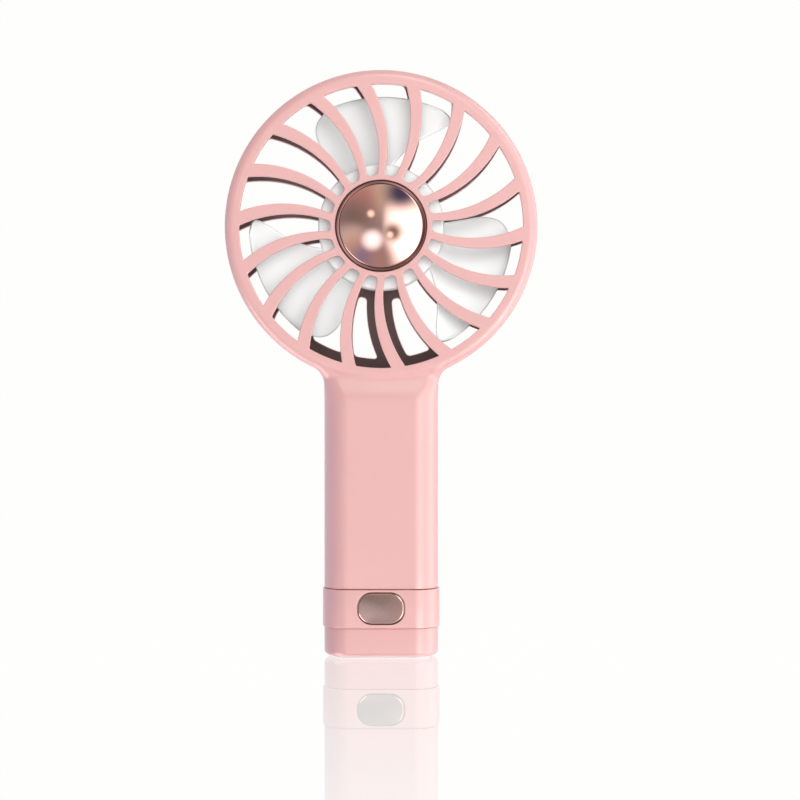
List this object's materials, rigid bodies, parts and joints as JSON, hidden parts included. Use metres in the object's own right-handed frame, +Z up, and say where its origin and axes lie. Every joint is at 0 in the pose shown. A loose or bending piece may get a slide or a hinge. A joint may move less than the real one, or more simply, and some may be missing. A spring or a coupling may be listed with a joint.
{
  "type": "handheld electric fan",
  "caption": "Rechargeable handheld fan with a round spiral-grille head, metallised hub dome, flat-fronted handle, push button in a collar and a flat base cap.",
  "frame": {"origin": "centre of the underside of the foot pad, on the table the fan stands on", "axes": "+Z up along the handle to the head, the front grille and button face -Y, +X to the right seen from the front"},
  "size_m": [0.102, 0.0283, 0.1915],
  "materials": {
    "pink_plastic": "satin moulded ABS with a soft sheen, blush pink",
    "rose_mirror": "vacuum-metallised plastic, mirror polish, rose gold",
    "rose_satin": "metallised plastic, satin face with a polished edge, rose gold",
    "white_plastic": "satin moulded plastic, off-white",
    "rubber_pad": "matt soft rubber, milky white",
    "black_plastic": "moulded, black",
    "steel": "bright plated steel",
    "zinc_plate": "pressed steel, zinc plated",
    "copper": "enamelled copper wire and copper segments",
    "bronze": "sintered bronze",
    "ferrite": "sintered ferrite, dark grey",
    "cell_sleeve": "shrunk blue plastic sleeve over the cell's can",
    "insulating_paper": "pressed insulating paper",
    "nickel": "nickel-plated strip",
    "foam": "closed-cell foam, black",
    "red_insulation": "soft vinyl wire insulation, red",
    "black_insulation": "soft vinyl wire insulation, black",
    "circuit_board": "glass-fibre board with green solder mask",
    "clear_plastic": "milky clear moulded plastic"
  },
  "bodies": {
    "housing": {"front_shell": "pink_plastic", "rear_shell": "pink_plastic", "dome_cap": "rose_mirror", "collar": "pink_plastic", "bottom_cap": "pink_plastic", "foot_pad": "rubber_pad", "switch_body": "black_plastic", "motor_can": "zinc_plate", "motor_end_bell": "black_plastic", "motor_magnet_left": "ferrite", "motor_magnet_right": "ferrite", "motor_bush_front": "bronze", "motor_bush_rear": "bronze", "motor_brush_left": "copper", "motor_brush_right": "copper", "motor_bracket": "zinc_plate", "bracket_screw_left": "steel", "bracket_screw_right": "steel", "cap_screw_left": "steel", "cap_screw_right": "steel", "shell_screw_1": "steel", "shell_screw_2": "steel", "shell_screw_3": "steel", "shell_screw_4": "steel", "battery_cell": "cell_sleeve", "battery_insulator": "insulating_paper", "battery_tab_positive": "nickel", "battery_tab_negative": "nickel", "battery_foam_pad": "foam", "battery_lead_red": "red_insulation", "battery_lead_black": "black_insulation", "motor_lead_red": "red_insulation", "motor_lead_black": "black_insulation", "control_board": "circuit_board", "control_chip": "black_plastic", "power_inductor": "ferrite", "usb_port_shell": "nickel", "usb_port_tongue": "black_plastic", "charge_led": "clear_plastic", "led_lens": "clear_plastic"},
    "rotor": {"impeller": "white_plastic", "motor_shaft": "steel", "armature_core": "zinc_plate", "armature_winding_1": "copper", "armature_winding_2": "copper", "armature_winding_3": "copper", "commutator": "copper"},
    "button": {"power_button": "rose_satin", "switch_plunger": "black_plastic"}
  },
  "joints": [
    {"name": "impeller_spin", "type": "hinge", "parent": "housing", "child": "rotor", "pos_m": [0, 0, 0.1405], "axis": [0, 1, 0], "continuous": true},
    {"name": "button_press", "type": "slide", "parent": "housing", "child": "button", "axis": [0, 1, 0], "range_m": [0, 0.0005], "stiffness_N_per_m": 1500, "springref_m": -0.0003}
  ]
}
